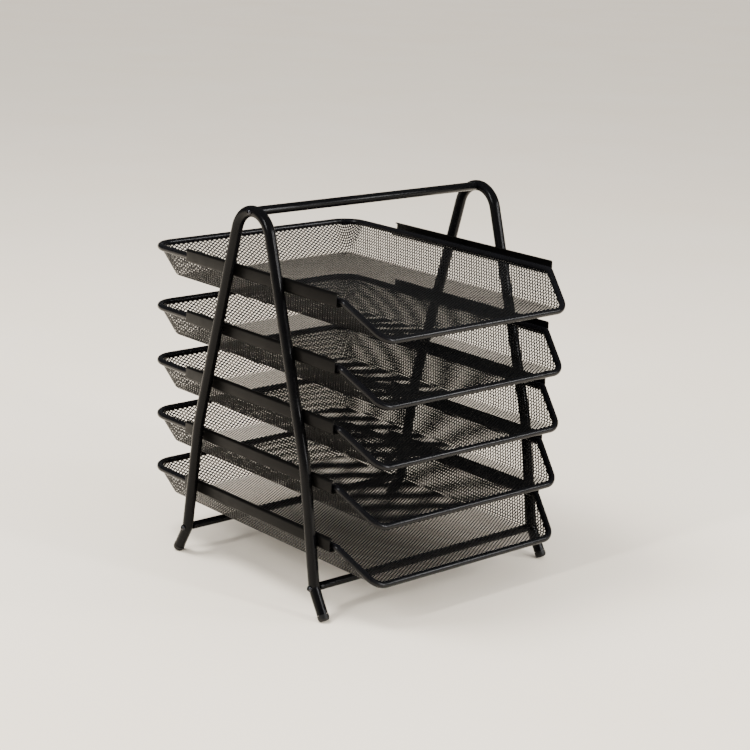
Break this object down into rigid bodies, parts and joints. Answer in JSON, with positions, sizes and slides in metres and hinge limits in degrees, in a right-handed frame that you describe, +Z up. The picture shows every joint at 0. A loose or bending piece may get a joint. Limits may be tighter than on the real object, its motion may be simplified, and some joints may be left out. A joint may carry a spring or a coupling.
{
  "type": "desktop file sorter",
  "caption": "Black wire-mesh desktop file sorter: sliding letter trays stacked in a bent tube frame with a carrying handle and rubber-tipped splayed feet.",
  "frame": {"origin": "on the table, under the middle of the whole object", "axes": "+Z up, -Y towards the open, lowered front of the trays, X across the trays from the left to the right side frame"},
  "size_m": [0.2936, 0.3404, 0.363],
  "materials": {
    "coat": "satin black powder coat",
    "wire": "semi-gloss black coat on round wire",
    "mesh": "satin black coat on expanded mesh",
    "plastic": "soft matt black",
    "screw": "blackened steel"
  },
  "bodies": {
    "frame": {"left_side_frame": "coat", "right_side_frame": "coat", "handle_bar": "coat", "front_cross_bar": "coat", "rear_cross_bar": "coat", "handle_left_screw": "screw", "handle_right_screw": "screw", "front_left_screw": "screw", "front_right_screw": "screw", "rear_left_screw": "screw", "rear_right_screw": "screw", "front_left_foot_plug": "plastic", "front_right_foot_plug": "plastic", "rear_left_foot_plug": "plastic", "rear_right_foot_plug": "plastic", "left_rail_1": "coat", "left_rail_2": "coat", "left_rail_3": "coat", "left_rail_4": "coat", "left_rail_5": "coat", "right_rail_1": "coat", "right_rail_2": "coat", "right_rail_3": "coat", "right_rail_4": "coat", "right_rail_5": "coat"},
    "tray_1": {"tray_1_rim": "wire", "tray_1_basket": "mesh"},
    "tray_2": {"tray_2_rim": "wire", "tray_2_basket": "mesh"},
    "tray_3": {"tray_3_rim": "wire", "tray_3_basket": "mesh"},
    "tray_4": {"tray_4_rim": "wire", "tray_4_basket": "mesh"},
    "tray_5": {"tray_5_rim": "wire", "tray_5_basket": "mesh"}
  },
  "joints": [
    {"name": "slide_1", "type": "slide", "parent": "frame", "child": "tray_1", "axis": [0, -1, 0], "range_m": [0, 0.3]},
    {"name": "slide_2", "type": "slide", "parent": "frame", "child": "tray_2", "axis": [0, -1, 0], "range_m": [0, 0.3]},
    {"name": "slide_3", "type": "slide", "parent": "frame", "child": "tray_3", "axis": [0, -1, 0], "range_m": [0, 0.3]},
    {"name": "slide_4", "type": "slide", "parent": "frame", "child": "tray_4", "axis": [0, -1, 0], "range_m": [0, 0.3]},
    {"name": "slide_5", "type": "slide", "parent": "frame", "child": "tray_5", "axis": [0, -1, 0], "range_m": [0, 0.3]}
  ]
}
